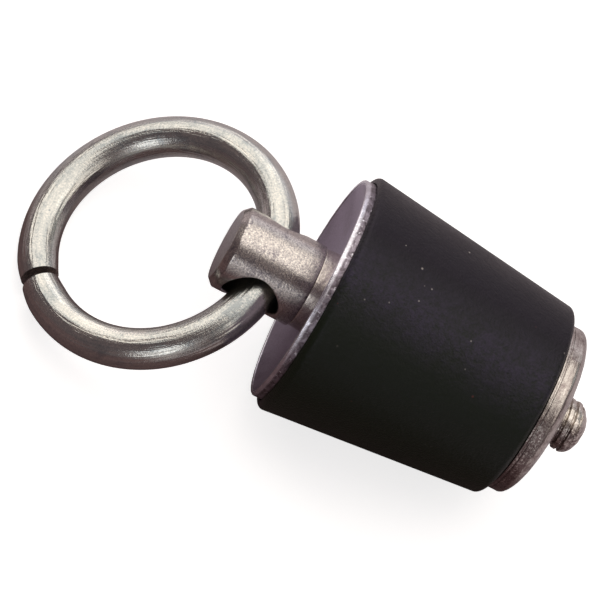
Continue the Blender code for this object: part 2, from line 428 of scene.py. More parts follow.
class MaterialSheet(NodeSheet):
    """A material's node tree, with its Principled shader and its coordinates on the piece."""

    def __init__(self, name: str, local: Matrix, trees: EffectTrees) -> None:
        """Starts a material.

        Args:
            name: the material's name.
            local: the frame that the patterns are drawn in, whose Z is the piece's own axis.
            trees: the shared effects' trees.
        """
        self.material = bpy.data.materials.new(name)
        self.material.use_nodes = True
        super().__init__(self.material.node_tree)
        self.shader = self.tree.nodes["Principled BSDF"]
        self.trees = trees
        place = local.inverted()
        self.vector = self.value("ShaderNodeMapping", {
            "Vector": self.value("ShaderNodeTexCoord", output="Object"),
            "Location": place.translation, "Rotation": place.to_euler("XYZ"),
        })

    def effect(self, effect: Effect) -> Value:
        """Places a shared effect with its values in this finish."""
        feeds = dict(enumerate((self.vector, *astuple(effect))))
        return self.value("ShaderNodeGroup", feeds, node_tree=self.trees[type(effect)])

    def shade(self, name: str, value: Any) -> None:
        """Feeds one input of the shader."""
        self.feed(self.shader.inputs[name], value)

    def relief(self, height: Value) -> None:
        """Makes a height in metres the surface's bump."""
        bump = self.add("ShaderNodeBump", {"Height": height, "Strength": 1.0, "Distance": 1.0})
        self.shade("Normal", bump.outputs["Normal"])


# Finishes


@dataclass(frozen=True)
class Finish:
    """What every finish has: a name and a material."""

    name: str

    def dress(self, sheet: MaterialSheet) -> None:
        """Draws up the finish in a new material."""
        raise NotImplementedError

    def material(self, trees: EffectTrees, local: Matrix) -> Material:
        """Makes the finish's material.

        Args:
            trees: the shared effects' trees.
            local: the piece's own frame.

        Returns:
            The material.
        """
        sheet = MaterialSheet(self.name, local, trees)
        self.dress(sheet)
        return sheet.material


@dataclass(frozen=True)
class SteelFinish(Finish):
    """Zinc-plated steel with streaks round its axis, a sandy grain, tarnished patches and, where
    its tone is set, painted shade towards local +Y, mottled by the grain.
    """

    colour: Colour
    # Dark colour of the real marks, which painted shade also darkens towards.
    tarnish_and_shade: Colour = (0.22, 0.18, 0.18)
    roughness: float = 0.30
    rougher: float = 0.12
    streaks: Streaks = Streaks()
    streak_relief: float = 0.004 * MM
    streak_tone: float = 0.25
    stain_width: float = 3.0
    stain_tone: float = 0.30
    grain: Grain = Grain()
    grain_relief: float = 0.006 * MM
    grain_tone: float = 0.15
    patches: Patches = Patches()
    patch_tone: float = 0.35
    pits: Specks = Specks()
    pit_tone: float = 0.6
    pit_depth: float = 0.02 * MM
    # Painted shade: the colour darkens towards local +Y, and is weaker past an end station.
    painted_shade_tone: float = 0.0
    painted_shade_side: Span = (7 * MM, 16 * MM)
    painted_shade_end: Span = (-48.8 * MM, -48.3 * MM)
    painted_shade_past_end: float = 0.2
    painted_shade_by_grain: Span = (0.3, 1.4)

    def dress(self, sheet: MaterialSheet) -> None:
        """Draws up the finish.

        Args:
            sheet: the new material.
        """
        streak = sheet.effect(self.streaks)
        stain = sheet.effect(Streaks(self.streaks.round, self.streaks.across / self.stain_width))
        grain, patch, pits = (sheet.effect(each) for each in (self.grain, self.patches, self.pits))
        _, side, station = sheet.split(sheet.vector)
        # Painted shade, mottled by the grain, darkens into the same colour as the real marks.
        painted_shade = sheet.ramp(side, self.painted_shade_side, (0, self.painted_shade_tone))
        painted_shade = painted_shade * sheet.ramp(grain, NOISE_SPAN, self.painted_shade_by_grain)
        painted_shade = painted_shade * sheet.ramp(station, self.painted_shade_end, (self.painted_shade_past_end, 1))
        soiled_and_shaded = streak * self.streak_tone + grain * self.grain_tone + stain * self.stain_tone
        soiled_and_shaded = soiled_and_shaded + patch * self.patch_tone + painted_shade
        soiled_and_shaded = (soiled_and_shaded + pits * self.pit_tone).held()
        sheet.shade("Base Color", sheet.mix(soiled_and_shaded, self.colour, self.tarnish_and_shade))
        sheet.shade("Metallic", 1.0)
        sheet.shade("Roughness", soiled_and_shaded * self.rougher + self.roughness)
        height = streak * self.streak_relief + grain * self.grain_relief
        sheet.relief(height - pits * self.pit_depth)


@dataclass(frozen=True)
class PressedSteelFinish(Finish):
    """Dull pressed steel: a matte dish that painted shade darkens towards local +Y, a crest rubbed
    bright and a mottled sheared wall.
    """

    dish: Colour = (0.60, 0.54, 0.66)
    # Dark colour of the dish's real stains, also used for its painted shade.
    stain: Colour = (0.26, 0.22, 0.28)
    wall: Colour = (0.36, 0.32, 0.37)
    wall_fleck: Colour = (0.80, 0.78, 0.84)
    pit: Colour = (0.10, 0.08, 0.09)
    crest: Colour = (0.86, 0.86, 0.93)
    edge_radius: float = 22.45 * MM
    tilt: float = 0.0194
    crest_station: float = 1.15 * MM
    blend: float = 0.2 * MM
    cloud: Patches = Patches(110.0, 0.44, 0.25)
    cloud_tone: float = 0.45
    fine: Grain = Grain(3600.0)
    fine_tone: float = 0.35
    fine_relief: float = 0.006 * MM
    # Painted shade on the dish, darker towards local +Y.
    painted_shade_side: Span = (-2 * MM, 20 * MM)
    painted_shade_tone: float = 0.6
    mottle: Patches = Patches(700.0, 0.44, 0.12)
    mottle_tone: float = 0.55
    grain: Grain = Grain(1500.0)
    grain_tone: float = 0.35
    flecks: Patches = Patches(1300.0, 0.60, 0.06)
    crest_wear: float = 0.35
    wall_relief: float = 0.05 * MM
    dish_roughness: float = 0.50
    wall_roughness: float = 0.36
    crest_roughness: float = 0.24

    def around(self, middle: float) -> Span:
        """Returns the narrow range in which one part of the cup turns into the next."""
        return middle - self.blend, middle + self.blend

    def dress(self, sheet: MaterialSheet) -> None:
        """Draws up the finish.

        Args:
            sheet: the new material.
        """
        x, y, z = sheet.split(sheet.vector)
        at_edge = sheet.ramp(sheet.reach(x, y), self.around(self.edge_radius))
        level = z - (y + self.edge_radius) * self.tilt
        high = sheet.ramp(level, self.around(self.crest_station))
        cloud, grain, fine, mottle, flecks = (sheet.effect(each) for each in (
            self.cloud, self.grain, self.fine, self.mottle, self.flecks,
        ))
        # Painted shade: the dish darkens towards local +Y into its stain colour, along with its
        # real stains.
        painted_shade = sheet.ramp(y, self.painted_shade_side, (0, self.painted_shade_tone))
        stains_and_painted_shade = (cloud * self.cloud_tone + fine * self.fine_tone + painted_shade).held()
        dish = sheet.mix(stains_and_painted_shade, self.dish, self.stain)
        wall = sheet.mix(mottle * self.mottle_tone + grain * self.grain_tone, self.wall, self.pit)
        wall = sheet.mix(flecks, wall, self.wall_fleck)
        crest = sheet.mix(mottle * self.crest_wear, self.crest, self.wall)
        sheet.shade("Base Color", sheet.mix(at_edge, dish, sheet.mix(high, wall, crest)))
        sheet.shade("Metallic", 1.0)
        edge = sheet.ramp(high, (0, 1), (self.wall_roughness, self.crest_roughness))
        sheet.shade("Roughness", at_edge * (edge - self.dish_roughness) + self.dish_roughness)
        worn = at_edge * (1.0 - high) * self.wall_relief
        sheet.relief(fine * self.fine_relief + grain * worn - mottle * worn)


@dataclass(frozen=True)
class RubberFinish(Finish):
    """Moulded near-black rubber: satin, with a mottled blooming held to a band along one side as a
    painted sheen, painted shade on the other side and a few specks of dust and rust.
    """

    colour: Colour = (0.0080, 0.0145, 0.0050)
    # Painted shade: a darker colour towards local -Y.
    painted_dark: Colour = (0.0035, 0.0035, 0.0035)
    painted_dark_side: Span = (4.5 * MM, -6 * MM)
    # Colour of the mottled blooming, also a painted sheen in a band along local +Y.
    bloom_and_sheen: Colour = (0.038, 0.031, 0.056)
    sheen_middle: float = 4.5 * MM
    sheen_half: float = 9 * MM
    bloom_loss: float = 0.35
    dust: Colour = (0.60, 0.56, 0.52)
    dust_specks: Specks = Specks(600.0, 0.055, 0.14)
    dust_side: Span = (14 * MM, -6 * MM)
    dust_least: float = 0.1
    dust_relief: float = 0.04 * MM
    rust: Colour = (0.16, 0.04, 0.03)
    rust_specks: Specks = Specks(400.0, 0.035, 0.11)
    cloud: Patches = Patches(95.0, 0.42, 0.3)
    cloud_tone: float = 0.5
    cloud_rough: float = 0.08
    grain: Grain = Grain(2300.0)
    grain_tone: float = 0.5
    grain_rough: float = 0.06
    blotch: Grain = Grain(850.0)
    blotch_tone: float = 0.6
    skin_relief: float = 0.05 * MM
    roughness: float = 0.33
    specular: float = 0.31
    tint: Colour = (0.87, 0.74, 1.0)

    def dress(self, sheet: MaterialSheet) -> None:
        """Draws up the finish.

        Args:
            sheet: the new material.
        """
        cloud, grain, blotch, dust, rust = (sheet.effect(each) for each in (
            self.cloud, self.grain, self.blotch, self.dust_specks, self.rust_specks,
        ))
        side = sheet.split(sheet.vector)[1]
        # Painted sheen: the mottled blooming is held to a band along local +Y.
        bloom_and_sheen_share = grain * self.grain_tone + blotch * self.blotch_tone - self.bloom_loss
        bloom_and_sheen_share = cloud * self.cloud_tone + bloom_and_sheen_share
        away = sheet.math("ABSOLUTE", side - self.sheen_middle)
        bloom_and_sheen_share = bloom_and_sheen_share * sheet.ramp(away, (self.sheen_half, 0))
        dust = dust * sheet.ramp(side, self.dust_side, (self.dust_least, 1))
        # Painted shade: the base colour darkens towards local -Y.
        tone = sheet.mix(sheet.ramp(side, self.painted_dark_side), self.colour, self.painted_dark)
        for share, colour in ((bloom_and_sheen_share, self.bloom_and_sheen), (rust, self.rust), (dust, self.dust)):
            tone = sheet.mix(share, tone, colour)
        sheet.shade("Base Color", tone)
        rough = cloud * self.cloud_rough + self.roughness + grain * self.grain_rough
        sheet.shade("Roughness", rough)
        sheet.shade("Specular IOR Level", self.specular)
        sheet.shade("Specular Tint", self.tint)
        sheet.relief((grain + blotch) * self.skin_relief + dust * self.dust_relief)


BRIGHT_WIRE = SteelFinish(
    "bright_wire", (0.93, 0.89, 0.80), (0.38, 0.41, 0.41), roughness=0.13,
    streaks=Streaks(1.4, 1000.0), streak_relief=0.085 * MM, streak_tone=0.40, stain_tone=0.40,
    grain_relief=0.014 * MM, grain_tone=0.40, patches=Patches(180.0),
)
TURNED_HEAD = SteelFinish(
    "sandy_turned_steel", (0.91, 0.855, 0.775), (0.22, 0.20, 0.22), roughness=0.13,
    streak_relief=0.003 * MM, streak_tone=0.14, stain_tone=0.18, grain=Grain(3000.0),
    grain_relief=0.013 * MM, grain_tone=0.72, patches=Patches(330.0), pits=Specks(share=0.07),
)
COLLAR_STEEL = SteelFinish(
    "turned_collar_steel", (0.94, 0.88, 0.80), roughness=0.19, stain_tone=0.10,
    grain=Grain(3600.0), grain_relief=0.010 * MM, grain_tone=0.35,
)
DULL_CUP = PressedSteelFinish("dull_cup_steel")
# Painted shade darkens the plate on its +Y side, the rim more than the dome.
PLATE_STEEL = SteelFinish(
    "streaked_plate_steel", (0.82, 0.785, 0.72), (0.21, 0.16, 0.155), roughness=0.18,
    streaks=Streaks(across=2200.0), streak_relief=0.026 * MM, streak_tone=0.50, stain_tone=0.25,
    grain_relief=0.012 * MM, grain_tone=0.30, patches=Patches(300.0), patch_tone=0.50,
    painted_shade_tone=0.60,
)
# Painted shade darkens the stub on its +Y side.
STUB_STEEL = SteelFinish(
    "threaded_stub_steel", (0.86, 0.82, 0.75), (0.20, 0.15, 0.145), roughness=0.20,
    streak_tone=0.15, grain_relief=0.010 * MM, grain_tone=0.25, patches=Patches(420.0),
    patch_tone=0.45, painted_shade_tone=0.60, painted_shade_side=(1.0 * MM, 4.5 * MM),
    painted_shade_end=(-60.5 * MM, -60 * MM),
)
BLACK_RUBBER = RubberFinish("satin_black_rubber")


# Mesh work


def held(value: float, low: float = 0.0, high: float = 1.0) -> float:
    """Returns a number held between two ends."""
    return min(high, max(low, value))


def linked(name: str, data: ID) -> Object:
    """Makes an object in the scene.

    Args:
        name: the object's name.
        data: its mesh, lamp or camera.

    Returns:
        The object.
    """
    thing = bpy.data.objects.new(name, data)
    bpy.context.scene.collection.objects.link(thing)
    return thing


def evaluated(thing: Object) -> Mesh:
    """Returns what an object's modifiers make, as a plain mesh."""
    graph = bpy.context.evaluated_depsgraph_get()
    return bpy.data.meshes.new_from_object(thing.evaluated_get(graph))


def outward(name: str, shape: bmesh.types.BMesh) -> Mesh:
    """Turns a closed shape's faces outwards and makes it a mesh.

    Args:
        name: the mesh's name.
        shape: the shape, which is freed.

    Returns:
        The mesh.
    """
    bmesh.ops.recalc_face_normals(shape, faces=shape.faces)
    mesh = bpy.data.meshes.new(name)
    shape.to_mesh(mesh)
    shape.free()
    return mesh


def arc(centre: Span, radii: Span, start: float, end: float, steps: int) -> Profile:
    """Points of an elliptical arc.

    Args:
        centre: its centre, as a radius and a station.
        radii: its half widths along radius and station.
        start: the angle of its first point, in degrees.
        end: the angle of its last point, in degrees.
        steps: how many steps it is cut in.

    Returns:
        The points, both ends included.
    """
    angles = [math.radians(start + (end - start) * i / steps) for i in range(steps + 1)]
    return [
        (centre[0] + radii[0] * math.cos(a), centre[1] + radii[1] * math.sin(a)) for a in angles
    ]


def bend(first: Vector, corner: Vector, last: Vector, steps: int) -> list[Vector]:
    """Points of a smooth bend that starts and ends along a corner's two sides.

    Args:
        first: where it starts.
        corner: the corner that it rounds.
        last: where it ends.
        steps: how many steps it is cut in.

    Returns:
        The points, both ends included.
    """
    shares = [i / steps for i in range(steps + 1)]
    return [first.lerp(corner, share).lerp(corner.lerp(last, share), share) for share in shares]


def softened(corners: list[tuple[float, float, float]], steps: int = 6) -> Profile:
    """Rounds the corners of a closed profile.

    Args:
        corners: points (radius, station, rounding), in order round the profile.
        steps: how many steps each rounding is cut in.

    Returns:
        The profile's points.
    """
    most = 0.45
    points: Profile = []
    for i, (radius, station, rounding) in enumerate(corners):
        here = Vector((radius, station))
        to_last = Vector(corners[i - 1][:2]) - here
        to_next = Vector(corners[(i + 1) % len(corners)][:2]) - here
        if rounding <= 0:
            points.append((radius, station))
            continue
        reach = min(rounding, most * to_last.length, most * to_next.length)
        first = here + to_last.normalized() * reach
        last = here + to_next.normalized() * reach
        points += [(point.x, point.y) for point in bend(first, here, last, steps)]
    return points


def spaced(profile: Profile, longest: float) -> Profile:
    """Cuts a closed profile's long edges, so that its surface has points all over.

    Args:
        profile: the profile's points.
        longest: the longest edge that is left.

    Returns:
        The profile with points added.
    """
    points: Profile = []
    for (r0, s0), (r1, s1) in zip(profile, profile[1:] + profile[:1]):
        cuts = max(1, math.ceil(math.hypot(r1 - r0, s1 - s0) / longest))
        points += [(r0 + (r1 - r0) * i / cuts, s0 + (s1 - s0) * i / cuts) for i in range(cuts)]
    return points


def lathe(name: str, profile: Profile, around: int, closed: bool = True) -> Mesh:
    """Turns a profile round the local Z axis.

    Args:
        name: the mesh's name.
        profile: its points, as radius and station; a radius of zero makes a pole.
        around: how many steps the turn is cut in.
        closed: whether the last point joins the first.

    Returns:
        The closed mesh, with its faces outwards.
    """
    shape = bmesh.new()
    turns = [math.tau * i / around for i in range(around)]
    rows = []
    for radius, station in profile:
        ways = turns if radius > 0 else turns[:1]
        radius = max(radius, 0)
        rows.append([
            shape.verts.new((radius * math.cos(t), radius * math.sin(t), station)) for t in ways
        ])
    for here, there in zip(rows, rows[1:] + (rows[:1] if closed else [])):
        for i in range(around):
            j = (i + 1) % around
            places = ((here, i), (here, j), (there, j), (there, i))
            corners = dict.fromkeys(row[place % len(row)] for row, place in places)
            if len(corners) > 2:
                shape.faces.new(tuple(corners))
    return outward(name, shape)


def roughen(
    mesh: Mesh, depth: float, size: float, chosen: Callable[[Vector], float] | None = None
) -> None:
    """Moves points in or out along their normals by smooth noise.

    Args:
        mesh: the mesh to roughen.
        depth: how far a point moves at most.
        size: the width of the noise's lumps.
        chosen: takes a point and says how much of the depth it gets, or None for all of it.
    """
    moved = []
    for vertex in mesh.vertices:
        share = 1.0 if chosen is None else chosen(vertex.co)
        moved.append(vertex.co + vertex.normal * (depth * share * noise.noise(vertex.co / size)))
    for vertex, place in zip(mesh.vertices, moved):
        vertex.co = place


def cut(mesh: Mesh, cutter: Mesh) -> Mesh:
    """Cuts one closed mesh from another.

    Args:
        mesh: the mesh that is cut.
        cutter: the mesh that is taken away.

    Returns:
        What is left, as a plain mesh.
    """
    body, tool = linked("cut_body", mesh), linked("cut_tool", cutter)
    boolean = body.modifiers.new("cut", "BOOLEAN")
    boolean.operation = "DIFFERENCE"
    boolean.solver = "EXACT"
    boolean.object = tool
    left = evaluated(body)
    for thing in (body, tool):
        bpy.data.objects.remove(thing)
    return left


# The plug's pieces


@dataclass(frozen=True)
class PlugAxis:
    """The line that the turned pieces share, with the eye's centre on it."""

    eye: Vector
    direction: Vector

    @classmethod
    def from_joints(cls, joints: list[dict[str, Any]]) -> "PlugAxis":
        """Reads the axis from the joint that turns the bolt."""
        turn = next(joint for joint in joints if joint["name"] == "bolt_turn")
        return cls(Vector(turn["pos_m"]), Vector(turn["axis"]).normalized())

    def at(self, station: float) -> Vector:
        """Returns the point of the axis at a station, in the row frame."""
        return self.eye + self.direction * (station - EYE_STATION)

    def frame(self) -> Matrix:
        """The frame of the turned pieces, whose origin is the rubber's large end.

        Returns:
            The matrix whose Z runs along the axis and whose Y is the row frame's Y.
        """
        across = Vector((0, 1, 0))
        basis = Matrix((across.cross(self.direction), across, self.direction)).transposed()
        return Matrix.Translation(self.at(0)) @ basis.to_4x4()


@dataclass(kw_only=True)
class Piece:
    """What every piece of the plug has: a name, a CAD node, a body and a finish."""

    name: str
    node: str
    body: Body
    finish: Finish
    sharp_angle: float = math.radians(32)

    def mesh(self) -> Mesh:
        """Makes the mesh in the piece's own frame."""
        raise NotImplementedError

    def frame(self, axis: PlugAxis) -> Matrix:
        """Returns the piece's own frame, which a turned piece shares with the axis."""
        return axis.frame()

    def build(self, axis: PlugAxis, trees: EffectTrees) -> Object:
        """Puts the mesh in the row frame, dresses it and sets it on its body.

        Args:
            axis: the plug axis.
            trees: the shared effects' trees.

        Returns:
            The piece.
        """
        mesh, frame = self.mesh(), self.frame(axis)
        mesh.transform(frame)
        mesh.shade_smooth()
        mesh.set_sharp_from_angle(angle=self.sharp_angle)
        mesh.materials.clear()
        mesh.materials.append(self.finish.material(trees, frame))
        piece = linked(self.name, mesh)
        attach(piece, self.body.value)
        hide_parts(self.node)
        log.info("%s: %d faces on %s", self.name, len(mesh.polygons), self.body.value)
        return piece


@dataclass(kw_only=True)
class CupWasher(Piece):
    """The dished washer, set into the rubber's large end with its rim standing proud."""

    name: str = "dished_cup"
    node: str = "cup_washer"
    body: Body = Body.SLEEVE
    finish: Finish = DULL_CUP
    radius: float = 23.25 * MM
    crest: float = 1.9 * MM
    depth: float = 3.9 * MM
    thickness: float = 2.3 * MM
    rim_flat: float = 0.7 * MM
    seat_radius: float = 10.0 * MM
    bore: float = 5.3 * MM
    rim_inner_rounding: float = 0.25 * MM
    rim_outer_rounding: float = 0.6 * MM
    rim_foot_rounding: float = 0.2 * MM
    settle: float = 0.9 * MM
    settle_loss: float = 0.75
    settle_from: float = 2 * MM
    settle_fade: float = 8 * MM
    settle_inner_share: float = 0.4
    wear_depth: float = 0.05 * MM
    wear_size: float = 0.9 * MM
    dish_wear_share: float = 0.2
    spacing: float = 0.25 * MM
    dish_steps: int = 40
    around: int = 240

    def lift(self, x: float, y: float) -> float:
        """Returns how much further out the edge stands, where X points down and Y to the side."""
        fade = held((x - self.settle_from) / self.settle_fade)
        return self.settle * (y + self.radius) / (2 * self.radius) * (1 - self.settle_loss * fade)

    def dish(self, drop: float) -> Profile:
        """The dish from its rim in to its seat.

        Args:
            drop: how far it is moved down the axis.

        Returns:
            The dish's points.
        """
        seat = self.crest - self.depth
        span = self.radius - self.rim_flat - self.seat_radius
        shares = [1 - i / self.dish_steps for i in range(self.dish_steps + 1)]
        return [
            (self.seat_radius + span * share, seat + self.depth * share ** 2 - drop)
            for share in shares
        ]

    def mesh(self) -> Mesh:
        """Makes the washer, then lifts its edge where it has settled unevenly.

        Returns:
            The mesh in the piece's own frame.
        """
        seat = self.crest - self.depth
        rim = self.radius - self.rim_flat
        foot = self.crest - self.thickness
        outer = softened([
            (rim, self.crest, self.rim_inner_rounding),
            (self.radius, self.crest, self.rim_outer_rounding),
            (self.radius, foot, self.rim_foot_rounding),
            (rim, foot, 0),
        ])
        profile = spaced(outer, self.spacing) + self.dish(self.thickness)[1:]
        profile += [(self.bore, seat - self.thickness), (self.bore, seat)]
        profile += self.dish(0)[::-1][:-1]
        mesh = lathe(self.name, profile, self.around)
        roughen(
            mesh, self.wear_depth, self.wear_size,
            lambda p: 1.0 if math.hypot(p.x, p.y) > rim else self.dish_wear_share,
        )
        inner = self.settle_inner_share
        for vertex in mesh.vertices:
            x, y, _ = vertex.co
            outer_share = max(0.0, math.hypot(x, y) / self.radius - inner) / (1 - inner)
            vertex.co.z += self.lift(x, y) * min(1.0, outer_share)
        return mesh


@dataclass(kw_only=True)
class RubberBung(Piece):
    """The tapered bung, recessed for the cup and bored for the shank."""

    cup: CupWasher
    name: str = "tapered_bung"
    node: str = "rubber_bung"
    body: Body = Body.SLEEVE
    finish: Finish = BLACK_RUBBER
    large_radius: float = 25.0 * MM
    small_radius: float = 20.0 * MM
    length: float = 45.7 * MM
    large_edge: float = 0.9 * MM
    small_edge: float = 1.4 * MM
    small_edge_width: float = 1.9 * MM
    bore: float = 5.5 * MM
    gap: float = 0.3 * MM
    plate_travel: float = 7.5 * MM
    wear_depth: float = 0.06 * MM
    wear_size: float = 9 * MM
    spacing: float = 1.2 * MM
    large_edge_steps: int = 10
    small_edge_steps: int = 12
    around: int = 240

    def taper(self, station: float) -> float:
        """Returns the taper's radius at a station."""
        return self.large_radius + (self.small_radius - self.large_radius) * -station / self.length

    def recess(self) -> Profile:
        """Returns the recess under the cup, from its floor out to its rim."""
        return self.cup.dish(self.cup.thickness + self.gap)[::-1]

    def mesh(self) -> Mesh:
        """Makes the bung, whose large end follows the cup where it has settled unevenly.

        Returns:
            The mesh in the piece's own frame.
        """
        edge, width = self.large_edge, self.small_edge_width
        start = self.small_edge - self.length
        large = (self.taper(-edge) - edge, -edge)
        small = (self.taper(start) - width, start)
        recess = self.recess()
        wall = self.cup.radius + self.gap
        profile = arc(large, (edge, edge), 90, 0, self.large_edge_steps)
        profile += arc(small, (width, self.small_edge), 0, -90, self.small_edge_steps)
        profile += [(self.bore, -self.length), (self.bore, recess[0][1]), *recess]
        profile += [(wall, recess[-1][1]), (wall, 0)]
        mesh = lathe(self.name, spaced(profile, self.spacing), self.around)
        roughen(
            mesh, self.wear_depth, self.wear_size,
            lambda p: 1.0 if math.hypot(p.x, p.y) > wall else 0.0,
        )
        for vertex in mesh.vertices:
            x, y, z = vertex.co
            if z > -edge:
                inward = (self.large_radius - math.hypot(x, y)) / (self.large_radius - wall)
                vertex.co.z += self.cup.lift(x, y) * held(inward)
        return mesh

    def build(self, axis: PlugAxis, trees: EffectTrees) -> Object:
        """Makes the bung and gives the piece a mesh of its own.

        Args:
            axis: the plug axis.
            trees: the shared effects' trees.

        Returns:
            The piece.
        """
        piece = super().build(axis, trees)
        floor = self.recess()[0][1]
        kept = (self.length + floor - self.plate_travel) / (self.length + floor)
        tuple(axis.direction)
        axis.at(floor)
        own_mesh(piece)
        return piece


@dataclass(kw_only=True)
class ThrustCollar(Piece):
    """The loose collar that the bolt's shoulder turns on."""

    name: str = "loose_collar"
    node: str = "thrust_collar"
    body: Body = Body.SLEEVE
    finish: Finish = COLLAR_STEEL
    top_radius: float = 8.1 * MM
    foot_radius: float = 8.5 * MM
    bore: float = 5.3 * MM
    foot: float = -1.7 * MM
    top: float = 2.48 * MM
    rounding: float = 0.12 * MM
    bore_rounding: float = 0.15 * MM
    wear_depth: float = 0.03 * MM
    wear_size: float = 0.7 * MM
    spacing: float = 0.3 * MM
    around: int = 160

    def mesh(self) -> Mesh:
        """Makes the collar.

        Returns:
            The mesh in the piece's own frame.
        """
        profile = softened([
            (self.bore, self.top, self.bore_rounding),
            (self.top_radius, self.top, self.rounding),
            (self.foot_radius, self.foot, self.rounding),
            (self.bore, self.foot, self.bore_rounding),
        ])
        mesh = lathe(self.name, spaced(profile, self.spacing), self.around)
        roughen(mesh, self.wear_depth, self.wear_size)
        return mesh


@dataclass(kw_only=True)
class EndPlate(Piece):
    """The domed plate that the bolt draws against the rubber's small end."""

    name: str = "domed_plate"
    node: str = "end_plate"
    body: Body = Body.PLATE
    finish: Finish = PLATE_STEEL
    radius: float = 17.55 * MM
    bore: float = 5.24 * MM
    face: float = -46.0 * MM
    face_rounding: float = 0.3 * MM
    rim_length: float = 2.5 * MM
    rim_rounding: float = 0.2 * MM
    crown: float = 3.6 * MM
    fullness: float = 0.90
    offset: float = 0.45 * MM
    lip: float = 0.45 * MM
    groove_width: float = 0.45 * MM
    groove_depth: float = 0.10 * MM
    groove_edge: float = 0.08 * MM
    wear_depth: float = 0.05 * MM
    wear_size: float = 1.3 * MM
    spacing: float = 0.25 * MM
    dome_steps: int = 56
    around: int = 240

    def dome(self) -> Profile:
        """The dome from the rim in to the bore.

        Returns:
            The dome's points.
        """
        full = self.fullness
        rim_end = self.face - self.rim_length
        last = math.acos((self.bore / self.radius) ** (1 / full))
        angles = [last * i / self.dome_steps for i in range(self.dome_steps + 1)]
        return [
            (self.radius * math.cos(a) ** full, rim_end - self.crown * math.sin(a) ** full)
            for a in angles
        ]

    def mesh(self) -> Mesh:
        """Makes the plate, with a shallow groove behind its lip and its dome a little off the axis.

        Returns:
            The mesh in the piece's own frame.
        """
        dome = self.dome()
        edge = self.groove_edge
        floor = self.radius - self.groove_depth
        groove_start = self.face - self.lip
        groove_end = groove_start - self.groove_width
        rim = softened([
            (self.bore, self.face, 0),
            (self.radius, self.face, self.face_rounding),
            (self.radius, groove_start, edge),
            (floor, groove_start - edge, edge),
            (floor, groove_end + edge, edge),
            (self.radius, groove_end, edge),
            (self.radius, self.face - self.rim_length, self.rim_rounding),
            (*dome[1], 0),
        ])
        mesh = lathe(self.name, spaced(rim[:-1] + dome[1:], self.spacing), self.around)
        roughen(mesh, self.wear_depth, self.wear_size)
        for vertex in mesh.vertices:
            from_bore = max(0.0, math.hypot(vertex.co.x, vertex.co.y) - self.bore)
            vertex.co.y += self.offset * from_bore / (self.radius - self.bore)
        return mesh


@dataclass(kw_only=True)
class EyeBolt(Piece):
    """The drilled head and its shank, in one piece with the threaded stub."""

    name: str = "eye_head"
    node: str = "eye_bolt"
    body: Body = Body.BOLT
    finish: Finish = TURNED_HEAD
    head_radius: float = 8.5 * MM
    shank_radius: float = 5.0 * MM
    shoulder: float = 2.6 * MM
    shoulder_rounding: float = 0.12 * MM
    head_end: float = 20.046 * MM
    chamfer: float = 1.3 * MM
    chamfer_rounding: float = 0.25 * MM
    eye_radius: float = 5.748 * MM
    mouth_width: float = 0.7 * MM
    mouth_lift: float = 0.05 * MM
    overrun: float = 2.0 * MM
    shank_end: float = -36.5 * MM
    spacing: float = 0.5 * MM
    around: int = 256
    eye_around: int = 192
    mouth_steps: int = 8

    def mouth(self, angle: float, side: int) -> list[Vector]:
        """The eye's rounded mouth at one angle, from its wall out past the head's skin.

        Args:
            angle: the angle round the eye.
            side: 1 or -1, for the two ends of the hole.

        Returns:
            The mouth's points.
        """
        out = Vector((math.cos(angle), 0, math.sin(angle)))
        hole = out * self.eye_radius
        reach = math.sqrt(self.head_radius ** 2 - hole.x ** 2)
        corner = Vector((hole.x, reach, hole.z))
        skin = Vector((hole.x, reach, 0)).normalized()
        along_edge = Vector((-hole.z, hole.x * hole.z / reach, hole.x)).normalized()
        down_wall = along_edge.cross(out).normalized()
        if down_wall.y > 0:
            down_wall.negate()
        over_skin = along_edge.cross(skin).normalized()
        if over_skin.dot(out) < 0:
            over_skin.negate()
        wall_end = corner + down_wall * self.mouth_width
        skin_end = corner + over_skin * self.mouth_width + skin * self.mouth_lift
        points = bend(wall_end, corner, skin_end, self.mouth_steps)
        points.append(skin_end + skin * self.overrun)
        flare = out * (self.eye_radius + self.mouth_width)
        far = self.head_radius + self.mouth_lift + 2 * self.overrun
        points.append(Vector((flare.x, far, flare.z)))
        return [Vector((point.x, point.y * side, point.z)) for point in points]

    def eye_cutter(self) -> Mesh:
        """The cross hole with both its mouths.

        Returns:
            The cutter's closed mesh.
        """
        shape = bmesh.new()
        place = Vector((0, 0, EYE_STATION))
        columns = []
        for i in range(self.eye_around):
            angle = math.tau * i / self.eye_around
            column = self.mouth(angle, 1)[::-1] + self.mouth(angle, -1)
            columns.append([shape.verts.new(point + place) for point in column])
        for here, there in zip(columns, columns[1:] + columns[:1]):
            for j in range(len(here) - 1):
                shape.faces.new((here[j], here[j + 1], there[j + 1], there[j]))
        shape.faces.new([column[0] for column in columns])
        shape.faces.new([column[-1] for column in columns][::-1])
        return outward("eye_cutter", shape)

    def mesh(self) -> Mesh:
        """Makes the head and shank, and drills the eye.

        Returns:
            The mesh in the piece's own frame.
        """
        foot = (0, self.shank_end)
        profile = spaced(softened([
            (0, self.head_end, 0),
            (self.head_radius - self.chamfer, self.head_end, self.chamfer_rounding),
            (self.head_radius, self.head_end - self.chamfer, self.chamfer_rounding),
            (self.head_radius, self.shoulder, self.shoulder_rounding),
            (self.shank_radius, self.shoulder, 0),
            (self.shank_radius, self.shank_end, 0),
            (*foot, 0),
        ]), self.spacing)
        bar = lathe(self.name, profile[: profile.index(foot) + 1], self.around, closed=False)
        return cut(bar, self.eye_cutter())


